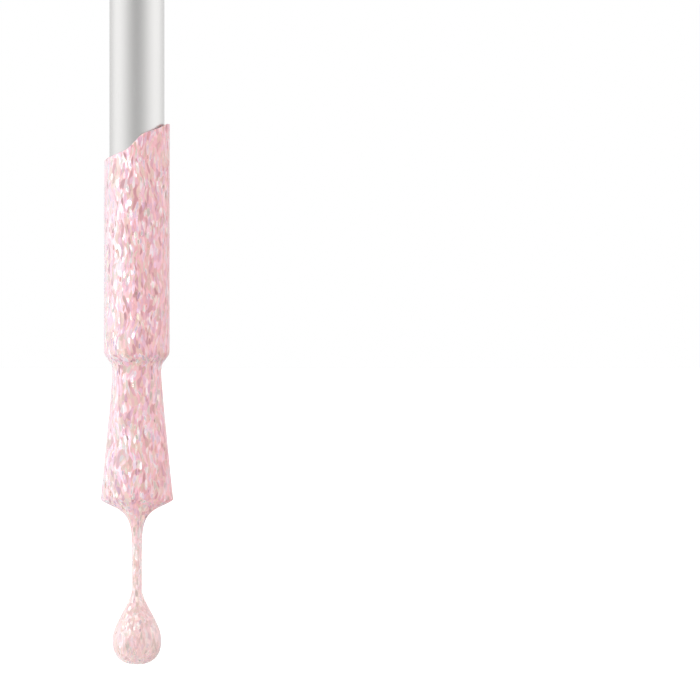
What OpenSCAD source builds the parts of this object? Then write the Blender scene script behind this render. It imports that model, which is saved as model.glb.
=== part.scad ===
// Twist-feed brush pen for nail gel.
// The pen hangs brush down along Z, with its origin at the middle of the barrel.
// Turning the knob drives a keyed lead screw through a fixed nut, and the screw
// pushes a piston that feeds gel down the stem into the bristles.

/* [Barrel] */
// Outside diameter of the barrel
barrel_od = 11; // [10.8:0.1:12]
// Length of the barrel
barrel_len = 48; // [48:1:60]
// Wall of the barrel
barrel_wall = 1; // [0.9:0.05:1.1]
// Length of the trim band below the barrel
band_len = 1.2; // [0.8:0.1:2]

/* [Nose] */
// Diameter of the straight seat that a protective cap pushes on to
seat_od = 9.5; // [9.2:0.1:9.8]
// Length of that seat
seat_len = 4.5; // [3.5:0.5:8]
// Length of the curved cone in front of the seat
cone_len = 5.5; // [4:0.5:9]
// Diameter of the cone's front face
cone_tip_od = 4.4; // [4:0.1:5.4]

/* [Stem] */
// Outside diameter of the stem tube
stem_od = 3; // [2.8:0.05:3.2]
// Wall of the stem tube
stem_wall = 0.3; // [0.25:0.05:0.4]
// Length of stem that stands out of the nose
stem_exposed = 21.8; // [18:0.2:30]

/* [Brush and gel] */
// Thickness of the gel film on the stem
film = 0.29; // [0.2:0.01:0.35]
// Diameter of the coated brush where it leaves the stem
neck_od = 2.7; // [2.6:0.05:2.8]
// Width of the coated brush at its tip
tip_width = 3.94; // [3.4:0.02:4.4]
// Thickness of the coated brush at its tip
tip_depth = 2.3; // [2:0.1:2.8]
// Length of the coated brush below the stem
brush_len = 7.6; // [7:0.1:9]
// Diameter of the gel thread that the drop hangs by
thread_od = 0.54; // [0.4:0.02:0.7]
// Diameter of the hanging drop
drop_od = 2.66; // [2.2:0.02:3]
// Lowest point of the drop below the stem
drop_reach = 16.6; // [15.6:0.1:18]
// Height of the film's edge above the stem's end, at its middle
film_height = 11.87; // [9:0.01:14]

/* [Mechanism] */
// Full travel of the piston
travel = 20; // [12:1:20]
// Advance of the lead screw for each turn
lead = 4; // [3:0.5:6]
// Number of clicks in one turn of the knob
ratchet_teeth = 16; // [12:2:20]
// Length of the twist knob
knob_len = 15.3; // [15.3:0.1:18]

/* [Hidden] */
$fn = 64;

slip = 0.02;      // radial gap between pieces that are pressed together
run = 0.05;       // radial gap between pieces that turn or slide
face_gap = 0.05;  // gap between faces that turn on each other
edge = 0.25;      // small edge break on turned pieces

// Heights along the pen, from the barrel's middle
barrel_r = barrel_od / 2;
bore_r = barrel_r - barrel_wall;
barrel_top = barrel_len / 2;
barrel_bottom = -barrel_top;
nose_top = barrel_bottom - band_len;
seat_bottom = nose_top - seat_len;
nose_tip = seat_bottom - cone_len;
stem_end = nose_tip - stem_exposed;

// Nose, from its socket for the reservoir down to the stem's bore
socket_r = 2.6;
socket_depth = 3.4;
spigot_len = 4.8;
spigot_top = barrel_bottom + spigot_len;
gland_top = spigot_top - socket_depth;
gland_len = 2.8;
flange_top = gland_top - gland_len;
flange_len = 0.8;
flange_r = 2.2;

// Stem, feed tube and bristle anchor
stem_r = stem_od / 2;
stem_bore_r = stem_r - stem_wall;
feed_r = 0.8;
feed_bore_r = 0.5;
anchor_len = 2.8;

// Reservoir and piston
reservoir_bore_r = 3.8;
reservoir_wall_front = 1;
reservoir_front = spigot_top + 0.4;
outlet_r = 1;
outlet_len = 3;
outlet_wall = 0.9;
funnel = 1;
gel_front = reservoir_front + reservoir_wall_front;
piston_len = 5;
piston_stop_gap = 0.4;
piston_front = gel_front + piston_stop_gap + travel;
piston_rear = piston_front + piston_len;
piston_r = 3.65;
reservoir_rear = piston_rear + 0.3;

// Lead screw: two starts, made by two circles set apart and twisted along the axis
screw_lobe_r = 1.55;
screw_lobe_offset = 0.3;
screw_r = screw_lobe_r + screw_lobe_offset;
screw_flat = 1.15;
thread_gap = 0.12;
slices_per_turn = 18;
head_r = 1.3;
head_len = 1.8;
neck_r = 0.8;
neck_len = 0.9;
screw_bottom = piston_rear + 0.3;

// Feed mechanism above the reservoir
nut_len = 3.4;
nut_bottom = reservoir_rear + 0.1;
nut_top = nut_bottom + nut_len;
ratchet_len = 2.6;
ratchet_bottom = nut_top + 0.2;
ratchet_top = ratchet_bottom + ratchet_len;
ratchet_crest_r = 3.45;
ratchet_root_r = 3.95;
hub_r = 3;
hub_flange_r = 4.3;
hub_flange_bottom = ratchet_top + 0.2;
hub_flange_top = hub_flange_bottom + 1;
key_top = hub_flange_top + 0.5;
washer_len = 0.3;
washer_bottom = hub_flange_top + face_gap;
bushing_bottom = washer_bottom + washer_len + face_gap;
collar_len = 0.25;
knob_bottom = barrel_top + collar_len + face_gap;
knob_top = knob_bottom + knob_len;
knob_r = barrel_r - 0.1;
hub_top = knob_bottom + 6.7;
hub_flat = 2.6;
plug_len = 1.7;
plug_r = 4.2;
screw_top = key_top + travel;

// Coated brush, from the stem's end down to the thread that carries the drop
neck_r_gel = neck_od / 2;
pivot_drop = 1;
brush_pivot = stem_end - pivot_drop;
tuft_gel = 0.24;
thread_r = thread_od / 2;
thread_top = 9.5;
drop_pivot = stem_end - thread_top - thread_r - 0.03;
drop_start = 12.4;
swell_power = 0.95;
draw_start = 0.1;
draw_inset = 0.15;
draw_length = 0.46;
drop_r = drop_od / 2;
drop_middle = drop_reach - drop_r;
bowl_power = 2.4;
ring_sides = 32;

// ---------------------------------------------------------------- helpers

// A plain round bar from z0 to z1
module bar(r, z0, z1) {
    translate([0, 0, z0]) cylinder(r = r, h = z1 - z0);
}

// A plain round tube from z0 to z1
module tube(r_out, r_in, z0, z1) {
    difference() {
        bar(r_out, z0, z1);
        bar(r_in, z0 - 1, z1 + 1);
    }
}

// A turned piece from an outline of [radius, height] points
module turned(outline) {
    rotate_extrude() polygon(outline);
}

// A round seal ring with its middle at height z
module seal_ring(middle_r, section_r, z) {
    translate([0, 0, z]) rotate_extrude() translate([middle_r, 0]) circle(r = section_r);
}

// A shaft between two flats that stand at +-half from the axis
module flatted(r, half, z0, z1) {
    intersection() {
        bar(r, z0, z1);
        translate([-half, -r - 1, z0]) cube([2 * half, 2 * r + 2, z1 - z0]);
    }
}

// The two-start thread's solid, grown outwards by gap, right-handed
module thread_form(gap, z0, z1) {
    turns = (z1 - z0) / lead;
    translate([0, 0, z0])
        rotate(360 * z0 / lead)
            linear_extrude(
                height = z1 - z0, twist = -360 * turns, slices = ceil(slices_per_turn * turns), $fn = 24
            )
                for (side = [-1, 1])
                    translate([side * screw_lobe_offset, 0])
                        circle(r = screw_lobe_r + gap);
}

// An eased step from 0 to 1
function ease(v) = let (u = min(1, max(0, v))) u * u * (3 - 2 * u);

// One ring of a rounded-off oval at height z; square > 1 fills its corners out
function oval_ring(half_x, half_y, z, square = 1) = [
    for (i = [0 : ring_sides - 1])
        let (a = 360 * i / ring_sides, c = cos(a), s = sin(a))
            [half_x * sign(c) * pow(abs(c), 1 / square), half_y * sign(s) * pow(abs(s), 1 / square), z]
];

// A closed solid through a stack of rings that rises from the first to the last
module ring_stack(rings) {
    n = len(rings[0]);
    m = len(rings);
    sides = [
        for (i = [0 : m - 2], j = [0 : n - 1])
            let (k = (j + 1) % n) [i * n + j, (i + 1) * n + j, (i + 1) * n + k, i * n + k]
    ];
    polyhedron(
        points = [for (ring = rings) each ring],
        faces = concat(
            [[for (j = [0 : n - 1]) j]],
            sides,
            [[for (j = [n - 1 : -1 : 0]) (m - 1) * n + j]]
        ),
        convexity = 4
    );
}

// ---------------------------------------------------------------- barrel and nose

module barrel() {
    color("pink") turned([
        [bore_r, barrel_bottom], [barrel_r - edge, barrel_bottom], [barrel_r, barrel_bottom + edge],
        [barrel_r, barrel_top - edge], [barrel_r - edge, barrel_top], [bore_r, barrel_top]
    ]);
}

module trim_band() {
    inner = bore_r + 0.12;
    outer = barrel_r - 0.1;
    color("silver") turned([
        [inner, nose_top], [outer - edge, nose_top], [outer, nose_top + edge],
        [outer, barrel_bottom - edge], [outer - edge, barrel_bottom], [inner, barrel_bottom]
    ]);
}

// The cone's outline bulges a little, as a drawn metal nose does
module nose_cone() {
    seat_r = seat_od / 2;
    tip_r = cone_tip_od / 2;
    groove_z = nose_top - 1.4;
    cone_steps = 10;
    cone = [
        for (i = [0 : cone_steps])
            let (u = i / cone_steps, bulge = pow(sin(90 * u), 0.85))
                [tip_r + (seat_r - tip_r) * bulge, nose_tip + cone_len * u]
    ];
    color("silver") turned(concat(
        [[stem_r + slip, nose_tip]],
        cone,
        [
            [seat_r, groove_z - 0.4], [seat_r - 0.2, groove_z - 0.2], [seat_r - 0.2, groove_z + 0.2],
            [seat_r, groove_z + 0.4], [seat_r, nose_top], [bore_r + 0.1, nose_top],
            [bore_r + 0.1, barrel_bottom], [bore_r - slip, barrel_bottom], [bore_r - slip, spigot_top],
            [socket_r, spigot_top], [socket_r, flange_top - flange_len],
            [stem_r + slip, flange_top - flange_len]
        ]
    ));
}

module stem_gland() {
    color("white") tube(socket_r - slip, feed_r + slip, flange_top, gland_top);
}

// The stem's top is flared to a flange that the gland holds down in the nose
module stem_tube() {
    color("lightgray") turned([
        [stem_bore_r, stem_end], [stem_r - 0.1, stem_end], [stem_r, stem_end + 0.1],
        [stem_r, flange_top - flange_len], [flange_r, flange_top - flange_len], [flange_r, flange_top - slip],
        [stem_bore_r, flange_top - slip]
    ]);
}

module feed_tube() {
    color("white") tube(feed_r, feed_bore_r, stem_end + anchor_len - 0.8, gland_top);
}

// The bristles' roots are fused into this plug, which holds the feed tube's end
module tuft_anchor() {
    top = stem_end + anchor_len;
    color("white") difference() {
        bar(stem_bore_r - slip, stem_end + 0.1, top);
        bar(feed_bore_r, stem_end, top + 1);
        bar(feed_r + slip, top - 0.8, top + 1);
    }
}

// ---------------------------------------------------------------- gel on the stem

// The film's edge climbs from -X to +X: a steady slope, and a steeper bank near the middle
edge_slope = 0.376;
bank_rise = 0.54;
bank_from = -0.62;
bank_run = 1.15;

// How far up the bank the edge is at x
function bank(x) = bank_rise * ease((x - bank_from) / bank_run);

// Height of the film's edge above the stem's end at angle a round the stem
function film_edge(a) =
    let (x = (stem_r + film) * cos(a)) film_height - bank(0) + edge_slope * x + bank(x);

// Outline of the film's wall at angle a, as [radius, height above the stem's end] points
function film_outline(a) =
    let (r = stem_r + film, top = film_edge(a)) [
        [stem_r + 0.01, top + 0.02], [stem_r + 0.01, -0.02], [stem_bore_r + 0.03, -0.02],
        [stem_bore_r + 0.03, -0.12], [neck_r_gel + 0.15, -0.12], [neck_r_gel + 0.27, 0.05],
        [r - 0.06, 0.27], [r, 0.5], [r, top - 0.2], [r - 0.08, top - 0.05]
    ];

module stem_gel_film() {
    sides = 48;
    loops = [
        for (i = [0 : sides - 1])
            let (a = 360 * i / sides)
                [for (p = film_outline(a)) [p[0] * cos(a), p[0] * sin(a), stem_end + p[1]]]
    ];
    m = len(loops[0]);
    color("lightpink") polyhedron(
        points = [for (loop = loops) each loop],
        faces = [
            for (i = [0 : sides - 1], j = [0 : m - 1])
                let (k = (i + 1) % sides, l = (j + 1) % m)
                    [i * m + j, i * m + l, k * m + l, k * m + j]
        ],
        convexity = 6
    );
}

// ---------------------------------------------------------------- reservoir and its gel

module reservoir() {
    neck_r_out = outlet_r + outlet_wall;
    color("ivory") turned([
        [outlet_r, reservoir_front - outlet_len], [neck_r_out, reservoir_front - outlet_len],
        [neck_r_out, reservoir_front], [bore_r - run, reservoir_front], [bore_r - run, reservoir_rear],
        [reservoir_bore_r, reservoir_rear], [reservoir_bore_r, gel_front + funnel], [outlet_r, gel_front]
    ]);
}

module outlet_seal() {
    gap = socket_r - outlet_r - outlet_wall;
    section = gap / 2 - 0.01;
    color("dimgray") seal_ring(outlet_r + outlet_wall + gap / 2, section, reservoir_front - outlet_len / 2);
}

module gel_charge() {
    r = reservoir_bore_r - slip;
    color("lightpink") turned([
        [0, gel_front + slip], [outlet_r, gel_front + slip], [r, gel_front + funnel + slip],
        [r, piston_front + funnel - 0.1], [outlet_r, piston_front - 0.1], [0, piston_front - 0.1]
    ]);
}

// ---------------------------------------------------------------- feed mechanism

module drive_nut() {
    color("khaki") difference() {
        bar(bore_r - slip, nut_bottom, nut_top);
        thread_form(thread_gap, nut_bottom - 0.5, nut_top + 0.5);
    }
}

// Saw teeth inside a ring: each climbs slowly and drops straight back
module ratchet_ring() {
    step = 360 / ratchet_teeth;
    teeth = [
        for (i = [0 : ratchet_teeth - 1], end = [0, 1])
            let (a = step * (i + 0.92 * end), r = end == 0 ? ratchet_crest_r : ratchet_root_r)
                [r * cos(a), r * sin(a)]
    ];
    color("khaki") translate([0, 0, ratchet_bottom]) difference() {
        cylinder(r = bore_r - slip, h = ratchet_len);
        translate([0, 0, -1]) linear_extrude(height = ratchet_len + 2) polygon(teeth);
    }
}

module rear_bushing() {
    color("white") turned([
        [hub_r + run, bushing_bottom], [bore_r - slip, bushing_bottom], [bore_r - slip, barrel_top],
        [barrel_r - 0.3, barrel_top], [barrel_r - 0.3, barrel_top + collar_len],
        [hub_r + run, barrel_top + collar_len]
    ]);
}

// One springy click arm: a root on the hub, a curved leaf and a tip that rides on the teeth
module click_arm() {
    leaf_in = 2.75;
    leaf_out = 3.05;
    sweep = 105;
    height = ratchet_len - 0.4;
    translate([0, 0, ratchet_bottom + 0.2]) {
        rotate_extrude(angle = sweep) translate([leaf_in, 0]) square([leaf_out - leaf_in, height]);
        rotate_extrude(angle = 16) translate([2.2, 0]) square([leaf_in - 2.1, height]);
        rotate(sweep - 9) rotate_extrude(angle = 9)
            translate([leaf_out - 0.1, 0]) square([ratchet_crest_r - run - leaf_out + 0.1, height]);
    }
}

// The hub is keyed to the screw's flats below, and to the knob above
module drive_hub() {
    core_r = 2.4;
    groove_z = (bushing_bottom + barrel_top) / 2;
    color("khaki") difference() {
        union() {
            bar(core_r, ratchet_bottom + 0.1, hub_flange_bottom + 0.1);
            bar(hub_flange_r, hub_flange_bottom, hub_flange_top);
            bar(hub_r, hub_flange_top - 0.1, knob_bottom - slip);
            flatted(hub_r, hub_flat, knob_bottom - 0.1, hub_top);
            for (side = [0, 1]) rotate(180 * side) click_arm();
        }
        flatted(screw_r + 0.1, screw_flat + 0.08, ratchet_bottom - 1, key_top + 0.1);
        bar(screw_r + 0.1, key_top, hub_top + 1);
        tube(hub_r + 1, hub_r - 0.55, groove_z - 0.32, groove_z + 0.32);
    }
}

module hub_seal() {
    color("dimgray") seal_ring(hub_r - 0.25, 0.28, (bushing_bottom + barrel_top) / 2);
}

module thrust_washer() {
    color("silver") tube(hub_flange_r - 0.1, hub_r + run, washer_bottom, washer_bottom + washer_len);
}

// Shallow flutes round the knob give the fingers a hold
module twist_knob() {
    flutes = 20;
    flute_r = 0.7;
    flute_depth = 0.22;
    color("silver") difference() {
        turned([
            [0, knob_bottom], [knob_r - edge, knob_bottom], [knob_r, knob_bottom + edge],
            [knob_r, knob_top - 0.6], [knob_r - 0.6, knob_top], [0, knob_top]
        ]);
        flatted(hub_r + slip, hub_flat + slip, knob_bottom - 1, hub_top + 0.1);
        bar(screw_r + 0.3, hub_top, knob_top);
        bar(plug_r + slip, knob_top - plug_len - 0.1, knob_top + 1);
        for (i = [0 : flutes - 1])
            rotate(360 * i / flutes)
                translate([knob_r + flute_r - flute_depth, 0, 0])
                    bar(flute_r, knob_bottom + 1.6, knob_top - 2);
    }
}

// A shallow domed disc in the shade of the gel closes the knob
module end_plug() {
    bottom = knob_top - plug_len;
    dome_steps = 6;
    dome = [
        for (i = [0 : dome_steps])
            let (a = 90 * i / dome_steps) [plug_r * cos(a), knob_top - 0.3 + 0.5 * sin(a)]
    ];
    color("lightpink") turned(concat([[0, bottom], [plug_r, bottom]], dome));
}

// ---------------------------------------------------------------- screw and piston

module lead_screw() {
    color("khaki") union() {
        intersection() {
            thread_form(0, screw_bottom, screw_top);
            translate([-screw_flat, -screw_r - 1, screw_bottom])
                cube([2 * screw_flat, 2 * screw_r + 2, screw_top - screw_bottom]);
        }
        bar(neck_r, screw_bottom - neck_len, screw_bottom + 0.1);
        bar(head_r, screw_bottom - neck_len - head_len, screw_bottom - neck_len);
    }
}

front_seal_z = piston_front + 1.75;
rear_seal_z = piston_rear - 0.85;
seal_groove_r = 2.85;
seal_section_r = 0.45;

module piston() {
    clear = 0.1;
    head_bottom = screw_bottom - neck_len - head_len;
    color("gainsboro") difference() {
        turned([
            [0, piston_front], [outlet_r, piston_front], [piston_r, piston_front + funnel],
            [piston_r, piston_rear], [0, piston_rear]
        ]);
        for (z = [front_seal_z, rear_seal_z])
            tube(piston_r + 1, seal_groove_r, z - seal_section_r - run, z + seal_section_r + run);
        bar(head_r + clear, head_bottom - clear, screw_bottom - neck_len + clear);
        bar(neck_r + clear, screw_bottom - neck_len, piston_rear + 1);
    }
}

module piston_front_seal() {
    color("dimgray") seal_ring(seal_groove_r + seal_section_r + 0.02, seal_section_r, front_seal_z);
}

module piston_rear_seal() {
    color("dimgray") seal_ring(seal_groove_r + seal_section_r + 0.02, seal_section_r, rear_seal_z);
}

// ---------------------------------------------------------------- brush and drop

// Share of the way from the neck to the tip at t below the stem's end, and the flare there
function along(t) = min(1, max(0, (t - pivot_drop) / (brush_len - pivot_drop)));
function half_width(t) = neck_r_gel + (tip_width / 2 - neck_r_gel) * pow(along(t), 1.15);
function half_depth(t) = neck_r_gel + (tip_depth / 2 - neck_r_gel) * ease(along(t));

// The bristles: a round root over the pivot that turns under the stem, then a flat flare
module bristle_tuft() {
    root_r = neck_r_gel - tuft_gel;
    tip = brush_len - 0.3;
    body_steps = 8;
    root_steps = 5;
    body = [
        for (i = [0 : body_steps])
            let (t = tip - (tip - pivot_drop) * i / body_steps)
                oval_ring(half_width(t) - tuft_gel, half_depth(t) - tuft_gel, stem_end - t)
    ];
    root = [
        for (i = [1 : root_steps])
            let (a = 84 * i / root_steps)
                oval_ring(root_r * cos(a), root_r * cos(a), brush_pivot + root_r * sin(a))
    ];
    color("wheat") ring_stack(concat(body, root));
}

// Half the size of the gel below the brush at t below the stem's end: it dies away to the thread
function drawn_in(half_tip, t) = let (rest = thread_r + 0.03)
    rest + (half_tip - draw_inset - rest) * exp(-(t - brush_len - draw_start) / draw_length);

// Gel round the bristles; its lower end draws in to the thread that the drop hangs by
module brush_gel_film() {
    body_steps = 8;
    draw_steps = 7;
    corner = 0.3;
    cavity_tip = brush_len - 0.29;
    draw_in = [
        for (i = [0 : draw_steps])
            let (t = brush_len + draw_start + (thread_top - brush_len - draw_start) * i / draw_steps)
                oval_ring(drawn_in(tip_width / 2, t), drawn_in(tip_depth / 2, t), stem_end - t)
    ];
    body = [
        for (i = [0 : body_steps])
            let (t = brush_len - corner - (brush_len - corner - pivot_drop) * i / body_steps)
                oval_ring(half_width(t), half_depth(t), stem_end - t)
    ];
    cavity = [
        for (i = [0 : body_steps])
            let (t = cavity_tip - (cavity_tip - pivot_drop) * i / body_steps)
                oval_ring(half_width(t) - tuft_gel + 0.01, half_depth(t) - tuft_gel + 0.01, stem_end - t)
    ];
    over = [for (p = cavity[body_steps]) [p[0], p[1], p[2] + 0.5]];
    falling = [for (i = [draw_steps : -1 : 0]) draw_in[i]];
    color("lightpink") difference() {
        ring_stack(concat(falling, body));
        ring_stack(concat(cavity, [over]));
    }
}

// Radius of the thread and drop at t below the stem's end
function drop_radius(t) =
    t <= drop_middle
        ? let (swell = max(0, (t - drop_start) / (drop_middle - drop_start)))
            thread_r + (drop_r - thread_r) * ease(pow(swell, swell_power))
        : drop_r * pow(max(0, 1 - pow((t - drop_middle) / drop_r, bowl_power)), 1 / bowl_power);

module gel_drop() {
    fall_steps = 22;
    bowl_steps = 12;
    cap_steps = 4;
    cap = [
        for (i = [0 : cap_steps])
            let (a = 90 - 90 * i / cap_steps) [thread_r * cos(a), drop_pivot + thread_r * sin(a)]
    ];
    fall = [
        for (i = [0 : fall_steps])
            let (t = drop_start + (drop_middle - drop_start) * i / fall_steps)
                [drop_radius(t), stem_end - t]
    ];
    bowl = [
        for (i = [1 : bowl_steps])
            let (t = drop_middle + drop_r * sin(90 * i / bowl_steps)) [drop_radius(t), stem_end - t]
    ];
    color("lightpink") turned(concat(cap, fall, bowl));
}

// ---------------------------------------------------------------- one line for each node

barrel();
trim_band();
nose_cone();
stem_gland();
stem_tube();
feed_tube();
tuft_anchor();
stem_gel_film();
reservoir();
outlet_seal();
gel_charge();
drive_nut();
ratchet_ring();
rear_bushing();
twist_knob();
end_plug();
drive_hub();
hub_seal();
thrust_washer();
lead_screw();
piston();
piston_front_seal();
piston_rear_seal();
bristle_tuft();
brush_gel_film();
gel_drop();
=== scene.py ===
"""Looks for a twist-feed nail gel brush pen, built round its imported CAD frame.

The pen hangs brush down along Z, with its origin at the middle of the barrel.
Sizes in the classes below are in millimetres, and MM turns them into metres.
Heights on the brush are given as a depth below the stem's end.
"""

import logging
import math
from abc import ABC, abstractmethod
from collections.abc import Callable, Sequence
from dataclasses import asdict, dataclass, field, replace
from enum import Enum

import bmesh
import bpy
from mathutils import Matrix, Vector, noise


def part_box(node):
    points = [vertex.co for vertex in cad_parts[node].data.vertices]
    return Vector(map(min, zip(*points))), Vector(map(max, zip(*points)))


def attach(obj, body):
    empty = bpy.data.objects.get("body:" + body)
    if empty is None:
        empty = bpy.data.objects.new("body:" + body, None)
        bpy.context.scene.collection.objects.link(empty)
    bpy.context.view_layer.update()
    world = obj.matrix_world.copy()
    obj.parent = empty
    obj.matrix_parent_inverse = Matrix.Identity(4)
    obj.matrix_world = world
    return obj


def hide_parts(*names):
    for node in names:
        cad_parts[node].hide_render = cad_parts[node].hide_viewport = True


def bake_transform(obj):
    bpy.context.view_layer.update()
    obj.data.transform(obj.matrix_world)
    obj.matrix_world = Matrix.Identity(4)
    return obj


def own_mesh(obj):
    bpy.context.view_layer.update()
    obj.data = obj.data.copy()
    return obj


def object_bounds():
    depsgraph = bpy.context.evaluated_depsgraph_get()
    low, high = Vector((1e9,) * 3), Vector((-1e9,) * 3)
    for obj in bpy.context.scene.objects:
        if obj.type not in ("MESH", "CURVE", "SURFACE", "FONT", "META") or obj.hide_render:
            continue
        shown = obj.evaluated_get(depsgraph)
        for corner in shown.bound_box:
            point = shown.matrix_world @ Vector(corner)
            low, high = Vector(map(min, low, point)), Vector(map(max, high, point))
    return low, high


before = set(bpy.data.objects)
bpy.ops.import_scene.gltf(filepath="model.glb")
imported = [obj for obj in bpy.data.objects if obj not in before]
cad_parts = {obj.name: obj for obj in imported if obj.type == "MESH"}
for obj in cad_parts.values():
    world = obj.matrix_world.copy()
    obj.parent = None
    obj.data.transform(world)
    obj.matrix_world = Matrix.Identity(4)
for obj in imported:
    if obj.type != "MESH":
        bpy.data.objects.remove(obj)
CAD_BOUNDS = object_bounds()

MM = 0.001
MERGE_DISTANCE = 1e-5
log = logging.getLogger("brush_pen")

Point2 = tuple[float, float]
Point3 = tuple[float, float, float]
Ring = Callable[[float], Vector]
Colour = tuple[float, float, float, float]
Stops = tuple[tuple[float, Colour], ...]
Inputs = dict[str | int, object]
Socket = bpy.types.NodeSocket
NodeOutputs = bpy.types.NodeOutputs
NodeTree = bpy.types.NodeTree

# As a scale, this takes the height out of a place.
LEVEL = (1.0, 1.0, 0.0)


class Body(Enum):
    """The CAD model's bodies; pieces made here ride on the housing and the knob."""

    HOUSING = "housing"
    KNOB = "knob"
    BRUSH = "brush"
    DROP = "drop"


class Slot(Enum):
    """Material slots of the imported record."""

    LACQUER = "barrel_lacquer"
    SATIN = "satin_metal"
    STEM = "stem_metal"
    GEL = "nail_gel"
    BRISTLE = "nylon_bristle"
    WHITE = "white_acetal"
    GREY = "grey_acetal"
    CLEAR = "clear_polypropylene"
    RUBBER = "seal_rubber"


# ------------------------------------------------------------------ small formulas


def ease(value: float) -> float:
    """Smooth step from 0 to 1.

    Args:
        value: Place along the step; it is held between 0 and 1.

    Returns:
        The eased place.
    """
    u = min(1.0, max(0.0, value))
    return u * u * (3 - 2 * u)


def mix(a: float, b: float, share: float) -> float:
    """Straight mix from a to b."""
    return a + (b - a) * share


def soft_min(a: float, b: float, blend: float) -> float:
    """The smaller of two values, rounded over where they cross.

    Args:
        a: First value.
        b: Second value.
        blend: Width of the rounding, in the values' own unit.

    Returns:
        The rounded minimum.
    """
    share = max(blend - abs(a - b), 0.0) / blend
    return min(a, b) - share * share * blend / 4


def steps(first: float, last: float, count: int) -> list[float]:
    """Evenly spaced values from first to last, both included."""
    return [mix(first, last, i / (count - 1)) for i in range(count)]


def low(node: str) -> float:
    """Lowest height of a CAD node, in millimetres."""
    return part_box(node)[0].z / MM


def high(node: str) -> float:
    """Highest height of a CAD node, in millimetres."""
    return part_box(node)[1].z / MM


STEM_END = low("stem_tube")


# ------------------------------------------------------------------ mesh tools


def finish_mesh(bm: bmesh.types.BMesh, name: str) -> bpy.types.Object:
    """Closes a bmesh into an object at the origin, smooth and facing outwards.

    Args:
        bm: The finished bmesh, in millimetres. It is freed.
        name: Name of the object and its mesh.

    Returns:
        The new object, linked to the scene.
    """
    bmesh.ops.remove_doubles(bm, verts=bm.verts[:], dist=MERGE_DISTANCE)
    bmesh.ops.scale(bm, vec=(MM, MM, MM), verts=bm.verts[:])
    bmesh.ops.recalc_face_normals(bm, faces=bm.faces[:])
    for face in bm.faces:
        face.smooth = True
    mesh = bpy.data.meshes.new(name)
    bm.to_mesh(mesh)
    bm.free()
    piece = bpy.data.objects.new(name, mesh)
    bpy.context.scene.collection.objects.link(piece)
    return piece


def even_normals(piece: bpy.types.Object) -> None:
    """Keeps flat faces flat beside narrow rounded edges.

    Args:
        piece: The piece, which gets a modifier.
    """
    modifier = piece.modifiers.new("even_normals", "WEIGHTED_NORMAL")
    modifier.keep_sharp = True
    modifier.weight = 80


@dataclass
class Outline:
    """A turned outline of corners, each with its own fillet radius.

    Attributes:
        corners: (radius, height, fillet) in millimetres, in order round the wall.
        arc_steps: Points in each fillet.
    """

    corners: Sequence[Point3]
    arc_steps: int = 5

    def points(self) -> list[Point2]:
        """Corners with their fillets as arcs.

        Returns:
            The closed outline's points; corners with no fillet stay as they are.
        """
        made: list[Point2] = []
        count = len(self.corners)
        for i, (radius, height, fillet) in enumerate(self.corners):
            if fillet <= 0:
                made.append((radius, height))
                continue
            here = Vector((radius, height))
            back = (Vector(self.corners[i - 1][:2]) - here).normalized()
            ahead = (Vector(self.corners[(i + 1) % count][:2]) - here).normalized()
            half = back.angle(ahead) / 2
            reach = fillet / math.tan(half)
            centre = here + (back + ahead).normalized() * (fillet / math.sin(half))
            start = here + back * reach - centre
            end = here + ahead * reach - centre
            turn = start.angle_signed(end)
            for step in range(self.arc_steps):
                spoke = Matrix.Rotation(-turn * step / (self.arc_steps - 1), 2) @ start
                made.append(tuple(centre + spoke))
        return made


def turn_outline(outline: Outline, sides: int, closed: bool = True) -> bmesh.types.BMesh:
    """Spins an outline round the pen's axis.

    Args:
        outline: The wall's outline.
        sides: Faces round the piece.
        closed: Whether the outline's last point joins its first. An outline that
            starts and ends on the axis stays open.

    Returns:
        A closed bmesh, in millimetres.
    """
    bm = bmesh.new()
    verts = [bm.verts.new((radius, 0, height)) for radius, height in outline.points()]
    pairs = list(zip(verts, verts[1:]))
    if closed:
        pairs.append((verts[-1], verts[0]))
    edges = [bm.edges.new(pair) for pair in pairs]
    bmesh.ops.spin(
        bm,
        geom=verts + edges,
        cent=(0, 0, 0),
        axis=(0, 0, 1),
        angle=math.tau,
        steps=sides,
        use_merge=True,
    )
    return bm


def stack_rings(
    count: int, sides: int, columns: int = 1, pitch: float = 4.0
) -> bmesh.types.BMesh:
    """Extrudes unit circles up through rings that stand one apart.

    Args:
        count: Rings in the stack.
        sides: Points in each ring.
        columns: How many stacks stand side by side along X.
        pitch: Distance between two stacks.

    Returns:
        Open tubes of radius 1. A vertex's height is its ring's number.
    """
    bm = bmesh.new()
    for column in range(columns):
        place = Matrix.Translation((column * pitch, 0, 0))
        bmesh.ops.create_circle(bm, segments=sides, radius=1.0, matrix=place)
    edges = bm.edges[:]
    for _ in range(count - 1):
        grown = bmesh.ops.extrude_edge_only(bm, edges=edges)["geom"]
        verts = [g for g in grown if isinstance(g, bmesh.types.BMVert)]
        bmesh.ops.translate(bm, vec=(0, 0, 1), verts=verts)
        fresh = set(verts)
        sides_and_rims = [g for g in grown if isinstance(g, bmesh.types.BMEdge)]
        edges = [edge for edge in sides_and_rims if fresh.issuperset(edge.verts)]
    return bm


def close_ends(bm: bmesh.types.BMesh) -> None:
    """Fills every open loop with a fan of faces round a pole.

    Args:
        bm: The open tubes.
    """
    rims = [edge for edge in bm.edges if edge.is_boundary]
    caps = bmesh.ops.holes_fill(bm, edges=rims, sides=0)["faces"]
    bmesh.ops.poke(bm, faces=caps)


# ------------------------------------------------------------------ shader groups


class Kind(Enum):
    """Kinds of value that go into a shader group or come out of it."""

    NUMBER = "NodeSocketFloat"
    COLOUR = "NodeSocketColor"
    VECTOR = "NodeSocketVector"


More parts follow.
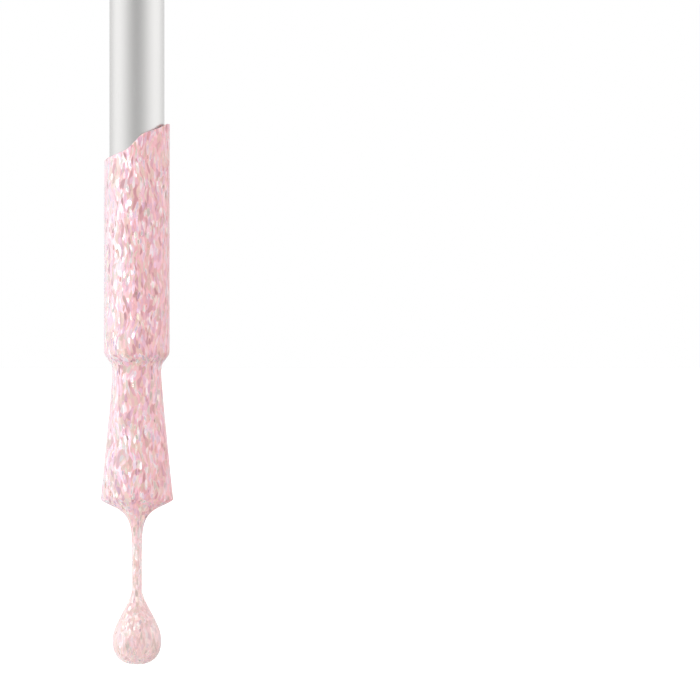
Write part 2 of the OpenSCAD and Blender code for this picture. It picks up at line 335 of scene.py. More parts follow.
@dataclass
class GroupBuilder:
    """Builds one shader node group with named inputs and outputs.

    Attributes:
        name: Name of the group.
        tree: The group's node tree.
        source: The node that its inputs come out of.
        sink: The node that its outputs go into.
    """

    name: str
    tree: NodeTree = field(init=False)
    source: bpy.types.Node = field(init=False)
    sink: bpy.types.Node = field(init=False)

    def __post_init__(self) -> None:
        """Makes the empty group with its two end nodes."""
        self.tree = bpy.data.node_groups.new(self.name, "ShaderNodeTree")
        self.source = self.tree.nodes.new("NodeGroupInput")
        self.sink = self.tree.nodes.new("NodeGroupOutput")

    def take(self, name: str, kind: Kind = Kind.NUMBER) -> Socket:
        """Adds an input and returns its socket inside the group."""
        self.tree.interface.new_socket(name, in_out="INPUT", socket_type=kind.value)
        return self.source.outputs[name]

    def give(self, name: str, socket: Socket, kind: Kind = Kind.NUMBER) -> None:
        """Adds an output and links a socket to it."""
        self.tree.interface.new_socket(name, in_out="OUTPUT", socket_type=kind.value)
        self.tree.links.new(socket, self.sink.inputs[name])


@dataclass
class Wiring:
    """Short calls that add a node to a tree and link it.

    A value that these calls take is either plain or a socket that is linked.

    Attributes:
        tree: The material's, world's or group's node tree.
    """

    tree: NodeTree

    def feed(self, node: bpy.types.Node, inputs: Inputs) -> None:
        """Links or sets inputs of a node.

        Args:
            node: The node.
            inputs: Values by the inputs' names or numbers.
        """
        for key, value in inputs.items():
            if isinstance(value, bpy.types.NodeSocket):
                self.tree.links.new(value, node.inputs[key])
            else:
                node.inputs[key].default_value = value

    def node(
        self, kind: str, inputs: Inputs | None = None, **settings: object
    ) -> bpy.types.Node:
        """Adds a node.

        Args:
            kind: Blender's name for the node, without ShaderNode in front.
            inputs: Values by the inputs' names or numbers.
            settings: The node's properties.

        Returns:
            The node.
        """
        made = self.tree.nodes.new(f"ShaderNode{kind}")
        for key, value in settings.items():
            setattr(made, key, value)
        self.feed(made, inputs or {})
        return made

    def maths(self, operation: str, a: object, b: object = 0.0, clamp: bool = False) -> Socket:
        """One step of arithmetic; clamp holds the result between 0 and 1."""
        made = self.node("Math", {0: a, 1: b}, operation=operation, use_clamp=clamp)
        return made.outputs[0]

    def vector_maths(self, operation: str, a: object, b: object = (0, 0, 0)) -> Socket:
        """One step of vector arithmetic."""
        made = self.node("VectorMath", {0: a, 1: b}, operation=operation)
        return made.outputs["Value" if operation in ("LENGTH", "DOT_PRODUCT") else "Vector"]

    def scaled(self, vector: object, factor: object) -> Socket:
        """A vector times a number."""
        made = self.node("VectorMath", {0: vector, "Scale": factor}, operation="SCALE")
        return made.outputs[0]

    def stretched(self, vector: object, scale: object) -> Socket:
        """Coordinates multiplied by a scale along each axis."""
        return self.vector_maths("MULTIPLY", vector, scale)

    def off_axis(self, place: Socket) -> Socket:
        """Distance of a place from the pen's axis."""
        return self.vector_maths("LENGTH", self.stretched(place, LEVEL))

    def mapped(
        self, value: object, first: object, last: object, to_first: object, to_last: object
    ) -> Socket:
        """Maps a value from one range to another, held at its ends.

        Args:
            value: The value.
            first: Start of the value's own range.
            last: End of it.
            to_first: Result at the start.
            to_last: Result at the end.

        Returns:
            The mapped value.
        """
        spans = {"From Min": first, "From Max": last, "To Min": to_first, "To Max": to_last}
        return self.node("MapRange", {"Value": value, **spans}, clamp=True).outputs["Result"]

    def mixed(self, factor: object, a: object, b: object) -> Socket:
        """Mixes two colours."""
        ends = {"Factor": factor, "A": a, "B": b}
        return self.node("Mix", ends, data_type="RGBA", clamp_factor=True).outputs["Result"]

    def object_coords(self) -> Socket:
        """The piece's own coordinates, in metres."""
        return self.node("TexCoord").outputs["Object"]

    def split_place(self, place: Socket) -> NodeOutputs:
        """The X, Y and Z of a place."""
        return self.node("SeparateXYZ", {0: place}).outputs

    def split_colour(self, colour: Socket) -> NodeOutputs:
        """The three numbers of a colour."""
        return self.node("SeparateColor", {0: colour}).outputs

    def noise(self, vector: object, scale: object, detail: float = 2.0) -> NodeOutputs:
        """A noise texture: its height comes first, and Color is three of them."""
        return self.node("TexNoise", {"Vector": vector, "Scale": scale, "Detail": detail}).outputs

    def ramp(self, factor: object, stops: Stops, constant: bool = False) -> Socket:
        """A colour ramp.

        Args:
            factor: Place along the ramp.
            stops: (place, colour) pairs in order.
            constant: Whether colours step, with no mix between them.

        Returns:
            The ramp's colour.
        """
        made = self.node("ValToRGB", {"Fac": factor})
        made.color_ramp.interpolation = "CONSTANT" if constant else "LINEAR"
        elements = made.color_ramp.elements
        for i, (place, colour) in enumerate(stops):
            stop = elements[i] if i < 2 else elements.new(place)
            stop.position = place
            stop.color = colour
        return made.outputs["Color"]

    def bump(self, height: Socket, strength: float, distance: float) -> Socket:
        """Turns a height into a normal.

        Args:
            height: Height between 0 and 1.
            strength: How much of the bump shows.
            distance: Real height of the bump, in metres.

        Returns:
            The bumped normal.
        """
        inputs = {"Height": height, "Strength": strength, "Distance": distance}
        return self.node("Bump", inputs).outputs["Normal"]

    def group(self, tree: NodeTree, **values: object) -> NodeOutputs:
        """Places a shader node group; its inputs are named without capitals."""
        inputs = {key.title(): value for key, value in values.items()}
        return self.node("Group", inputs, node_tree=tree).outputs


def glitter_group() -> NodeTree:
    """Close-packed flakes of glitter, stretched along the pen, with random shade and tilt.

    Returns:
        A group that gives each flake's three random numbers, how much of a
        separate flake it is, and its tilted normal.
    """
    sways_per_metre, sway_reach = 600.0, 0.0008
    whole_to, gone_at = 0.3, 0.6
    centre = (0.5, 0.5, 0.5)
    group = GroupBuilder("glitter_flakes")
    wires = Wiring(group.tree)
    place = group.take("Place", Kind.VECTOR)
    names = ("Width", "Stretch", "Softness", "Amount", "Tilt")
    width, stretch, softness, amount, tilt = [group.take(name) for name in names]
    sway = wires.noise(place, sways_per_metre, 1.0)["Color"]
    lean = wires.scaled(wires.vector_maths("SUBTRACT", sway, centre), sway_reach)
    bent = wires.vector_maths("ADD", place, wires.stretched(lean, (1.0, 1.0, 0.2)))
    across = wires.maths("DIVIDE", 1.0, width)
    along = wires.maths("DIVIDE", across, stretch)
    scale = wires.node("CombineXYZ", {"X": across, "Y": across, "Z": along}).outputs[0]
    cells = {"Vector": wires.stretched(bent, scale), "Scale": 1.0}
    soft = wires.node("TexVoronoi", {**cells, "Smoothness": softness}, feature="SMOOTH_F1")
    crisp = wires.node("TexVoronoi", cells, feature="F1")
    own = wires.split_colour(crisp.outputs["Color"])
    present = wires.maths("LESS_THAN", own[0], amount)
    body = wires.mapped(crisp.outputs["Distance"], whole_to, gone_at, 1.0, 0.0)
    blurred = wires.split_colour(soft.outputs["Color"])
    level = wires.node("NewGeometry").outputs["Normal"]
    swing = wires.scaled(wires.vector_maths("SUBTRACT", soft.outputs["Color"], centre), tilt)
    leaning = wires.vector_maths("ADD", level, swing)
    group.give("Shade", blurred[1])
    group.give("Hue", blurred[2])
    group.give("Pick", own[1])
    group.give("Mask", wires.maths("MULTIPLY", present, body))
    group.give("Normal", wires.vector_maths("NORMALIZE", leaning), Kind.VECTOR)
    return group.tree


def fine_lines_group() -> NodeTree:
    """Fine lines left by drawing or turning metal.

    Returns:
        A group that gives the lines' height and a roughness that varies with them.
    """
    smudges_per_metre = 260.0
    group = GroupBuilder("fine_lines")
    wires = Wiring(group.tree)
    place, grain = [group.take(name, Kind.VECTOR) for name in ("Place", "Grain")]
    rough, spread = [group.take(name) for name in ("Rough", "Spread")]
    lines = wires.noise(wires.stretched(place, grain), 1.0, 3.0)[0]
    both = wires.maths("ADD", lines, wires.noise(place, smudges_per_metre)[0])
    offset = wires.maths("MULTIPLY", wires.maths("SUBTRACT", both, 1.0), spread)
    group.give("Height", lines)
    group.give("Roughness", wires.maths("ADD", rough, offset, clamp=True))
    return group.tree


def mould_grain_group() -> NodeTree:
    """Fine grain and faint shade changes of a moulded surface.

    Returns:
        A group that gives the grain's height, a colour and a roughness.
    """
    grains_per_metre, clouds_per_metre = 9000.0, 420.0
    group = GroupBuilder("mould_grain")
    wires = Wiring(group.tree)
    place = group.take("Place", Kind.VECTOR)
    shade = group.take("Tone", Kind.COLOUR)
    rough = group.take("Rough")
    cloud = wires.noise(place, clouds_per_metre, 3.0)[0]
    value = wires.mapped(cloud, 0.3, 0.7, 0.93, 1.04)
    dimmed = wires.node("HueSaturation", {"Color": shade, "Value": value}).outputs[0]
    offset = wires.mapped(cloud, 0.3, 0.7, -0.06, 0.06)
    group.give("Height", wires.noise(place, grains_per_metre)[0])
    group.give("Colour", dimmed, Kind.COLOUR)
    group.give("Roughness", wires.maths("ADD", rough, offset))
    return group.tree


def hollows_group() -> NodeTree:
    """Flutes and grooves in a turned surface, told by their distance from its axis.

    Returns:
        A group that gives how deep a place lies, from 0 at the surface to 1.
    """
    group = GroupBuilder("hollows")
    wires = Wiring(group.tree)
    place = group.take("Place", Kind.VECTOR)
    names = ("Surface", "Depth", "Lowest", "Highest")
    surface, depth, lowest, highest = [group.take(name) for name in names]
    floor = wires.maths("SUBTRACT", surface, depth)
    sunk = wires.mapped(wires.off_axis(place), floor, surface, 1.0, 0.0)
    height = wires.split_place(place)["Z"]
    above = wires.maths("GREATER_THAN", height, lowest)
    below = wires.maths("LESS_THAN", height, highest)
    within = wires.maths("MULTIPLY", above, below)
    group.give("Mask", wires.maths("MULTIPLY", sunk, within))
    return group.tree


FINE_LINES = fine_lines_group()
GLITTER = glitter_group()
MOULD_GRAIN = mould_grain_group()
HOLLOWS = hollows_group()


# ------------------------------------------------------------------ finishes


def tone(red: int, green: int, blue: int) -> Colour:
    """A colour given as it looks on a screen, from 0 to 255, made linear."""
    linear = [((c / 255 + 0.055) / 1.055) ** 2.4 for c in (red, green, blue)]
    return (*linear, 1.0)


def grey(value: float) -> Colour:
    """A linear grey."""
    return (value, value, value, 1.0)


@dataclass(frozen=True)
class Hollows:
    """Where a turned piece has flutes or grooves, in millimetres.

    Attributes:
        surface: Radius of the plain surface.
        depth: Depth of the hollows below it.
        lowest: Height above which they lie.
        highest: Height below which they lie.
    """

    surface: float
    depth: float
    lowest: float
    highest: float

    def mask(self, wires: Wiring) -> Socket:
        """How deep a place lies in the hollows, from 0 to 1."""
        sizes = {key: value * MM for key, value in asdict(self).items()}
        return wires.group(HOLLOWS, place=wires.object_coords(), **sizes)["Mask"]


@dataclass(frozen=True)
class Flakes:
    """One layer of glitter.

    Attributes:
        width: Width of a flake, in millimetres.
        stretch: Its length along the pen, as a multiple of its width.
        tilt: How far flakes lean from the surface.
        softness: How far close-packed flakes run into each other.
        amount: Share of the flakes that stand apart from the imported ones.
    """

    width: float
    stretch: float
    tilt: float
    softness: float = 0.4
    amount: float = 0.5

    def lay(self, wires: Wiring, place: Socket) -> NodeOutputs:
        """Adds the layer to a material and returns what the glitter group gives."""
        values = {**asdict(self), "width": self.width * MM}
        return wires.group(GLITTER, place=place, **values)


@dataclass(frozen=True)
class Finish(ABC):
    """A surface finish that is built once as a material.

    Attributes:
        name: Name of the material.
        slot: The record's slot that the finish belongs to; not used.
    """

    name: str
    slot: Slot

    @abstractmethod
    def wire(self, wires: Wiring, shader: bpy.types.Node) -> None:
        """Feeds the shader's sockets.

        Args:
            wires: Calls that add nodes to the material.
            shader: The material's Principled BSDF.
        """

    def material(self) -> bpy.types.Material:
        """The finish's material, made the first time it is asked for.

        Returns:
            The material.
        """
        found = bpy.data.materials.get(self.name)
        if found is not None:
            return found
        made = bpy.data.materials.new(self.name)
        made.use_nodes = True
        self.wire(Wiring(made.node_tree), made.node_tree.nodes["Principled BSDF"])
        return made

    def dress(self, piece: bpy.types.Object) -> None:
        """Puts the finish on a piece, in place of any that it has.

        Args:
            piece: The piece, or a CAD node that is shown as it is.
        """
        piece.data.materials.clear()
        piece.data.materials.append(self.material())


@dataclass(frozen=True)
class DrawnMetal(Finish):
    """Bare metal with the fine lines of its making.

    Attributes:
        colour: Reflected colour.
        rough: Middle roughness.
        grain: How often the lines change along X, Y and Z, per metre.
        relief: Share of the lines' bump that shows.
        spread: How far the roughness strays from its middle.
        line_height: Real height of the lines, in metres.
        hollows: Flutes or grooves, made rougher by blasting and darkened with painted shade.
        blasted_shade: Share of the colour that is left in the hollows, as painted shade.
        blasted_rough: What blasting adds to the roughness.
    """

    colour: Colour
    rough: float
    grain: Point3
    relief: float
    spread: float = 0.08
    line_height: float = 4e-6
    hollows: Hollows | None = None
    blasted_shade: float = 0.5
    blasted_rough: float = 0.2

    def wire(self, wires: Wiring, shader: bpy.types.Node) -> None:
        """Sets the metal's colour, lines and gloss.

        Args:
            wires: Calls that add nodes to the material.
            shader: The material's Principled BSDF.
        """
        lines = wires.group(
            FINE_LINES,
            place=wires.object_coords(),
            grain=self.grain,
            rough=self.rough,
            spread=self.spread,
        )
        colour, rough = self.colour, lines["Roughness"]
        if self.hollows is not None:
            mask = self.hollows.mask(wires)
            # Painted shade: the hollows' colour is darkened as shade in them; blasting adds only
            # roughness.
            painted_shade_colour = (*(self.blasted_shade * part for part in self.colour[:3]), 1.0)
            colour = wires.mixed(mask, self.colour, painted_shade_colour)
            added = wires.maths("MULTIPLY", mask, self.blasted_rough)
            rough = wires.maths("ADD", rough, added, clamp=True)
        normal = wires.bump(lines["Height"], self.relief, self.line_height)
        inputs = {"Base Color": colour, "Metallic": 1.0, "Roughness": rough, "Normal": normal}
        wires.feed(shader, inputs)


@dataclass(frozen=True)
class GlitterGel(Finish):
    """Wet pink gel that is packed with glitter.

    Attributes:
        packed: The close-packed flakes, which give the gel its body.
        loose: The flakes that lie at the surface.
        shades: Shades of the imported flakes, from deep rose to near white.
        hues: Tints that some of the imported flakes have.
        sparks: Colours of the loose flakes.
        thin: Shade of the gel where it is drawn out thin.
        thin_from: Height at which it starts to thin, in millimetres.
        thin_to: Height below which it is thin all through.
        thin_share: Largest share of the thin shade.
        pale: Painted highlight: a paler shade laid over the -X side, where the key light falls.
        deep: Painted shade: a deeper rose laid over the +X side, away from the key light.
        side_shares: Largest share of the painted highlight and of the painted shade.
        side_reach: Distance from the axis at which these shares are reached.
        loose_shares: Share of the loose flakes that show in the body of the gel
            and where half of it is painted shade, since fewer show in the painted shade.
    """

    packed: Flakes = Flakes(0.125, 3.6, 1.1, softness=0.5)
    loose: Flakes = Flakes(0.15, 3.2, 1.1, amount=0.24)
    shades: Stops = (
        (0.10, tone(206, 145, 152)),
        (0.28, tone(236, 174, 179)),
        (0.42, tone(249, 187, 191)),
        (0.55, tone(254, 197, 201)),
        (0.72, tone(255, 219, 223)),
        (0.90, tone(255, 245, 247)),
    )
    hues: Stops = (
        (0.0, tone(250, 232, 204)),
        (0.30, tone(250, 226, 204)),
        (0.42, tone(244, 190, 194)),
        (0.58, tone(244, 190, 194)),
        (0.68, tone(244, 196, 222)),
        (1.0, tone(240, 200, 232)),
    )
    sparks: Stops = (
        (0.0, tone(255, 253, 250)),
        (0.40, tone(252, 247, 226)),
        (0.55, tone(252, 196, 210)),
        (0.70, tone(246, 206, 236)),
        (0.82, tone(248, 188, 180)),
        (0.95, tone(204, 172, 166)),
    )
    thin: Colour = tone(241, 217, 211)
    thin_from: float = 0.0
    thin_to: float = -1.0
    thin_share: float = 0.5
    pale: Colour = tone(220, 221, 230)
    deep: Colour = tone(232, 170, 176)
    side_shares: Point2 = (0.0, 0.0)
    side_reach: float = 1.9
    loose_shares: Point2 = (0.8, 0.3)

    def body(self, wires: Wiring, flakes: NodeOutputs, where: NodeOutputs) -> tuple[Socket, Socket]:
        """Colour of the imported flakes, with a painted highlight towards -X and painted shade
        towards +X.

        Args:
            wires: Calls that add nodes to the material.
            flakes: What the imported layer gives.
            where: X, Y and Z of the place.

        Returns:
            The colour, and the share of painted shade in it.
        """
        rose = wires.ramp(flakes["Shade"], self.shades)
        tinted = wires.ramp(flakes["Hue"], self.hues)
        aside = wires.maths("ABSOLUTE", wires.maths("SUBTRACT", flakes["Hue"], 0.5))
        gel = wires.mixed(wires.mapped(aside, 0.05, 0.3, 0.0, 0.5), rose, tinted)
        # Painted light: paler towards -X where the key light falls, deeper rose towards +X as
        # painted shade.
        reach = self.side_reach * MM
        painted_highlight_share = wires.mapped(where["X"], 0.0, -reach, 0.0, self.side_shares[0])
        painted_shade_share = wires.mapped(where["X"], 0.0, reach, 0.0, self.side_shares[1])
        return wires.mixed(painted_shade_share, wires.mixed(painted_highlight_share, gel, self.pale), self.deep), painted_shade_share

    def wire(self, wires: Wiring, shader: bpy.types.Node) -> None:
        """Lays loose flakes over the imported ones.

        Args:
            wires: Calls that add nodes to the material.
            shader: The material's Principled BSDF.
        """
        place = wires.object_coords()
        where = wires.split_place(place)
        packed = self.packed.lay(wires, place)
        elsewhere = wires.vector_maths("ADD", place, (0.013, 0.021, 0.007))
        loose = self.loose.lay(wires, elsewhere)
        gel, painted_shade_share = self.body(wires, packed, where)
        # Fewer loose flakes show in the painted shade.
        sparks_thinned_by_painted_shade = wires.mapped(painted_shade_share, 0.0, 0.5, *self.loose_shares)
        spark = wires.maths("MULTIPLY", loose["Mask"], sparks_thinned_by_painted_shade)
        flakes = wires.mixed(spark, gel, wires.ramp(loose["Pick"], self.sparks, constant=True))
        thin_from, thin_to = self.thin_from * MM, self.thin_to * MM
        thinned = wires.mapped(where["Z"], thin_from, thin_to, 0.0, self.thin_share)
        normals = {"Factor": loose["Mask"], 4: packed["Normal"], 5: loose["Normal"]}
        bright = wires.mapped(packed["Shade"], 0.45, 0.8, 0.1, 0.4)
        inputs = {
            "Base Color": wires.mixed(thinned, flakes, self.thin),
            "Normal": wires.node("Mix", normals, data_type="VECTOR").outputs[1],
            "Metallic": wires.maths("MAXIMUM", bright, wires.maths("MULTIPLY", spark, 0.6)),
            "Roughness": wires.mapped(spark, 0.0, 0.8, 0.42, 0.22),
            "IOR": 1.55,
            "Specular Tint": (0.55, 1.0, 1.0, 1.0),
            "Coat Weight": 0.35,
            "Coat Roughness": 0.25,
            "Subsurface Weight": 0.2,
            "Subsurface Radius": (1.0, 0.5, 0.45),
            "Subsurface Scale": 0.0003,
        }
        wires.feed(shader, inputs)


@dataclass(frozen=True)
class PearlLacquer(Finish):
    """Clear-coated lacquer with fine pearl flake.

    Attributes:
        hollows: The turned grooves.
        colour: Shade of the lacquer.
        flake: Shade of its flakes.
        pooled: Darker rose laid in the grooves, as painted shade.
        flakes: The layer of pearl flake.
    """

    hollows: Hollows
    colour: Colour = tone(226, 172, 177)
    flake: Colour = tone(250, 226, 226)
    pooled: Colour = tone(186, 118, 126)
    flakes: Flakes = Flakes(0.12, 1.0, 0.3)

    def wire(self, wires: Wiring, shader: bpy.types.Node) -> None:
        """Lays fine flake in the lacquer, under its clear coat, with painted shade in the grooves.

        Args:
            wires: Calls that add nodes to the material.
            shader: The material's Principled BSDF.
        """
        pearl = self.flakes.lay(wires, wires.object_coords())
        share = wires.maths("MULTIPLY", pearl["Mask"], pearl["Pick"])
        shade = wires.mixed(share, self.colour, self.flake)
        inputs = {
            # Painted shade: the grooves are darkened.
            "Base Color": wires.mixed(self.hollows.mask(wires), shade, self.pooled),
            "Metallic": wires.mapped(pearl["Mask"], 0.0, 1.0, 0.15, 0.6),
            "Normal": pearl["Normal"],
            "Roughness": 0.35,
            "Coat Weight": 1.0,
            "Coat Roughness": 0.04,
        }
        wires.feed(shader, inputs)


@dataclass(frozen=True)
class Moulded(Finish):
    """Moulded plastic or rubber.

    Attributes:
        colour: Shade of the material.
        rough: Middle roughness.
        glow: Share of light that passes through the wall's skin.
        relief: Share of the grain's bump that shows.
        grain_height: Real height of the grain, in metres.
    """

    colour: Colour = tone(236, 234, 228)
    rough: float = 0.42
    glow: float = 0.0
    relief: float = 0.25
    grain_height: float = 6e-6

    def wire(self, wires: Wiring, shader: bpy.types.Node) -> None:
        """Sets the material's shade, grain and gloss.

        Args:
            wires: Calls that add nodes to the material.
            shader: The material's Principled BSDF.
        """
        place = wires.object_coords()
        grain = wires.group(MOULD_GRAIN, place=place, tone=self.colour, rough=self.rough)
        inputs = {
            "Base Color": grain["Colour"],
            "Roughness": grain["Roughness"],
            "Normal": wires.bump(grain["Height"], self.relief, self.grain_height),
            "Subsurface Weight": self.glow,
            "Subsurface Radius": (1.0, 0.95, 0.85),
            "Subsurface Scale": 0.0008,
        }
        wires.feed(shader, inputs)


STEM_METAL = DrawnMetal(
    "stem_satin_metal", Slot.STEM, tone(213, 212, 211), 0.27, (16000, 16000, 25), 0.015, 0.02
)
TURNED_METAL = DrawnMetal(
    "turned_satin_metal", Slot.SATIN, tone(196, 194, 192), 0.22, (40, 40, 6000), 0.4, 0.14
)
NOSE_METAL = replace(
    TURNED_METAL,
    name="grooved_satin_metal",
    hollows=Hollows(
        surface=4.75,
        depth=0.2,
        lowest=low("trim_band") - 1.85,
        highest=low("trim_band") - 0.95,
    ),
)
KNOB_METAL = replace(
    TURNED_METAL,
    name="fluted_satin_metal",
    hollows=Hollows(
        surface=5.4,
        depth=0.22,
        lowest=low("twist_knob") + 1.5,
        highest=high("twist_knob") - 1.9,
    ),
)
SPRING_STEEL = DrawnMetal(
    "washer_steel", Slot.STEM, tone(206, 205, 204), 0.22, (3000, 3000, 3000), 0.15
)
NAIL_GEL = GlitterGel(
    "glitter_gel", Slot.GEL, thin_from=STEM_END - 7.9, thin_to=STEM_END - 9.4
)
# The coat's gel carries painted light: a painted highlight on its -X side and painted shade on its
# +X side.
COAT_GEL = replace(NAIL_GEL, name="glitter_gel_coat", side_shares=(0.4, 0.5))
LACQUER = PearlLacquer(
    "pearl_lacquer",
    Slot.LACQUER,
    hollows=Hollows(
        surface=5.5, depth=0.1, lowest=low("barrel") + 1.5, highest=high("barrel") - 1.5
    ),
)
WHITE_ACETAL = Moulded("white_acetal", Slot.WHITE, glow=0.1)
GREY_ACETAL = Moulded("grey_acetal", Slot.GREY, tone(168, 170, 173), 0.46)
CLEAR_LINER = Moulded("milky_polypropylene", Slot.CLEAR, tone(238, 238, 232), 0.3, 0.4, 0.1)
SEAL_RUBBER = Moulded("seal_rubber", Slot.RUBBER, tone(38, 38, 40), 0.6, 0.0, 0.4)
NYLON = Moulded("nylon_filament", Slot.BRISTLE, tone(240, 222, 204), 0.35, 0.35, 0.1)


# ------------------------------------------------------------------ the pen's pieces


def report(piece: bpy.types.Object) -> None:
    """Logs a piece and its face count."""
    log.info("%s: %d faces", piece.name, len(piece.data.polygons))


def oval(angle: float, half_x: float, half_y: float, height: float) -> Vector:
    """A place on a level oval round the axis, at a height above the stem's end."""
    return Vector((half_x * math.cos(angle), half_y * math.sin(angle), STEM_END + height))


@dataclass
class GelCoat:
    """One unbroken coat of gel over the stem and the brush.

    Its edge on the stem climbs in an S from -X to +X. Below the brush it draws in
    to the thread that the drop hangs by.

    Attributes:
        stem_radius: Outside radius of the stem.
        sleeve_radius: Outside radius of the coat on the stem.
        neck_radius: Radius where the coat leaves the stem.
        flare_top: Depth at which the brush starts to flare.
        brush_length: Depth of the brush's tip.
        tip_half_width: Half of the coated brush's width at its tip.
        tip_half_depth: Half of the coated brush's thickness at its tip.
        wall: Thickness of the gel over the bristles.
        thread_radius: Radius of the thread of gel.
        coat_end: Depth at which the drop's own mesh has taken over.
        edge_low: Lowest height of the coat's edge above the stem's end, at -X.
        edge_slope: How steeply the edge climbs along X.
        edge_rises: Soft steps in the edge, as (height, start along X, length).
        edge_round: Radius of the rounding at the edge.
        shoulder: How far above the stem's end the coat starts to narrow, and
            over what length it does.
        flare_power: Shape of the flare; 1 is straight.
        tip_blend: Width of the rounding at the brush's bottom corners.
        draw_below: How far below the tip the gel starts to draw in.
        draw_inset: How far inside the corners it starts.
        draw_length: Depth over which the draw-in dies away.
        sink: How far the coat's end sinks under the thread's skin, and over
            what length it does.
        stem_gap: Gap between the coat's inside and the stem.
        sleeve_reach: How far below the edge's lowest place the rings turn level.
        swell: Height of the slow unevenness of the gel.
        comb: Height of the traces of the bristles.
        combs: How many traces run round the brush.
        sides: Faces round the coat.
    """

    stem_radius: float = 1.5
    sleeve_radius: float = 1.79
    neck_radius: float = 1.35
    flare_top: float = 0.9
    brush_length: float = 7.6
    tip_half_width: float = 1.98
    tip_half_depth: float = 1.15
    wall: float = 0.24
    thread_radius: float = 0.27
    coat_end: float = 9.6
    edge_low: float = 10.9
    edge_slope: float = 0.376
    edge_rises: tuple[Point3, ...] = ((0.54, -0.62, 1.15), (0.12, 1.15, 0.6))
    edge_round: float = 0.09
    shoulder: Point2 = (0.45, 0.85)
    flare_power: float = 1.12
    tip_blend: float = 0.8
    draw_below: float = 0.2
    draw_inset: float = 0.15
    draw_length: float = 0.46
    sink: Point2 = (0.035, 0.6)
    stem_gap: float = 0.012
    sleeve_reach: float = 2.0
    swell: float = 0.03
    comb: float = 0.008
    combs: int = 23
    sides: int = 144

    def edge(self, x: float) -> float:
        """Height of the coat's edge above the stem's end, at a distance along X."""
        rises = sum(rise * ease((x - start) / length) for rise, start, length in self.edge_rises)
        return self.edge_low + self.edge_slope * (x + self.sleeve_radius) + rises

    def drawn_in(self, half_tip: float, depth: float) -> float:
        """Half size of the gel below the brush, which dies away to the thread.

        Args:
            half_tip: Half size of the brush's tip.
            depth: Distance below the stem's end.

        Returns:
            The half size of the gel.
        """
        start = self.brush_length + self.draw_below
        share = math.exp((start - depth) / self.draw_length)
        return self.thread_radius + (half_tip - self.draw_inset - self.thread_radius) * share

    def half_size(self, depth: float) -> Point2:
        """Half width and half thickness of the coated brush at a depth.

        Args:
            depth: Distance below the stem's end.

        Returns:
            Half sizes along X and Y.
        """
        if depth < self.flare_top:
            above, length = self.shoulder
            radius = mix(self.sleeve_radius, self.neck_radius, ease((depth + above) / length))
            return radius, radius
        share = min(1.0, (depth - self.flare_top) / (self.brush_length - self.flare_top))
        width = mix(self.neck_radius, self.tip_half_width, share**self.flare_power)
        thickness = mix(self.neck_radius, self.tip_half_depth, ease(share))
        return (
            soft_min(width, self.drawn_in(self.tip_half_width, depth), self.tip_blend),
            soft_min(thickness, self.drawn_in(self.tip_half_depth, depth), self.tip_blend),
        )

    def ripple(self, angle: float, depth: float) -> float:
        """Small unevenness of the wet surface, with traces of the bristles.

        Args:
            angle: Angle round the pen.
            depth: Distance below the stem's end.

        Returns:
            How far the surface stands out, in millimetres.
        """
        lumps_round, lumps_down, slant = 1.6, 0.22, 0.4
        comb_start, comb_length = 2.0, 3.0
        fade_end, fade_length = self.coat_end - 0.7, 1.2
        across, aside = math.cos(angle) * lumps_round, math.sin(angle) * lumps_round
        swell = noise.noise(Vector((across, aside, depth * lumps_down))) * self.swell
        comb = math.sin(angle * self.combs + depth * slant) * self.comb
        deepened = comb * ease((depth - comb_start) / comb_length)
        return (swell + deepened) * ease((fade_end - depth) / fade_length)

    def outside(self, depth: float) -> Ring:
        """A ring of the coat's outside.

        Args:
            depth: Distance below the stem's end.

        Returns:
            A function from angle to place.
        """
        sink, length = self.sink
        sunk = sink * ease((depth - self.coat_end + length) / length)
        half_x, half_y = self.half_size(depth)

        def place(angle: float) -> Vector:
            """The ring's place at an angle."""
            grow = self.ripple(angle, depth) - sunk
            return oval(angle, half_x + grow, half_y + grow, -depth)

        return place

    def sleeve(self, share: float, radius: float, drop: float) -> Ring:
        """A ring between the S-shaped edge and a level ring lower down.

        Args:
            share: 0 at the edge and 1 at the level ring.
            radius: Radius of the ring, before the ripple.
            drop: How far the ring stands below the edge, in millimetres.

        Returns:
            A function from angle to place.
        """
        level = self.edge_low - self.sleeve_reach

        wet = radius > self.stem_radius + 0.1

        def place(angle: float) -> Vector:
            """The ring's place at an angle."""
            height = mix(self.edge(radius * math.cos(angle)) - drop, level, share)
            grow = self.ripple(angle, -height) if wet else 0.0
            return oval(angle, radius + grow, radius + grow, height)

        return place

    def level(self, depth: float, half_x: float, half_y: float) -> Ring:
        """A plain level ring at a depth."""
        return lambda angle: oval(angle, half_x, half_y, -depth)

    def rings(self) -> list[Ring]:
        """Rings from the pocket's floor, up inside, over the edge and down outside.

        Returns:
            The rings in order, each a function from angle to place.
        """
        skin = self.stem_radius + self.stem_gap
        root = self.neck_radius - self.wall
        made: list[Ring] = []
        for depth in steps(self.brush_length - 0.3, 0.95, 12):
            half_x, half_y = self.half_size(depth)
            made.append(self.level(depth, half_x - self.wall, half_y - self.wall))
        made += [self.level(0.06, root, root), self.level(0.03, skin, skin)]
        made += [self.level(-height, skin, skin) for height in steps(2, self.edge_low - 2.2, 3)]
        made += [self.sleeve(share, skin, 0.0) for share in (1.0, 0.5, 0.1, 0.0)]
        for turn in steps(0, math.pi / 2, 6):
            radius = self.sleeve_radius - self.edge_round * (1 - math.sin(turn))
            made.append(self.sleeve(0.0, radius, self.edge_round * (1 - math.cos(turn))))
        made += [self.sleeve(share, self.sleeve_radius, 0.2) for share in steps(0.03, 1.0, 9)]
        spans = (
            (2.3 - self.edge_low, -0.6, 26),
            (-0.5, 0.6, 12),
            (0.75, 7.2, 34),
            (7.27, 8.4, 20),
            (8.5, self.coat_end, 10),
        )
        for first, last, count in spans:
            made += [self.outside(depth) for depth in steps(first, last, count)]
        return made

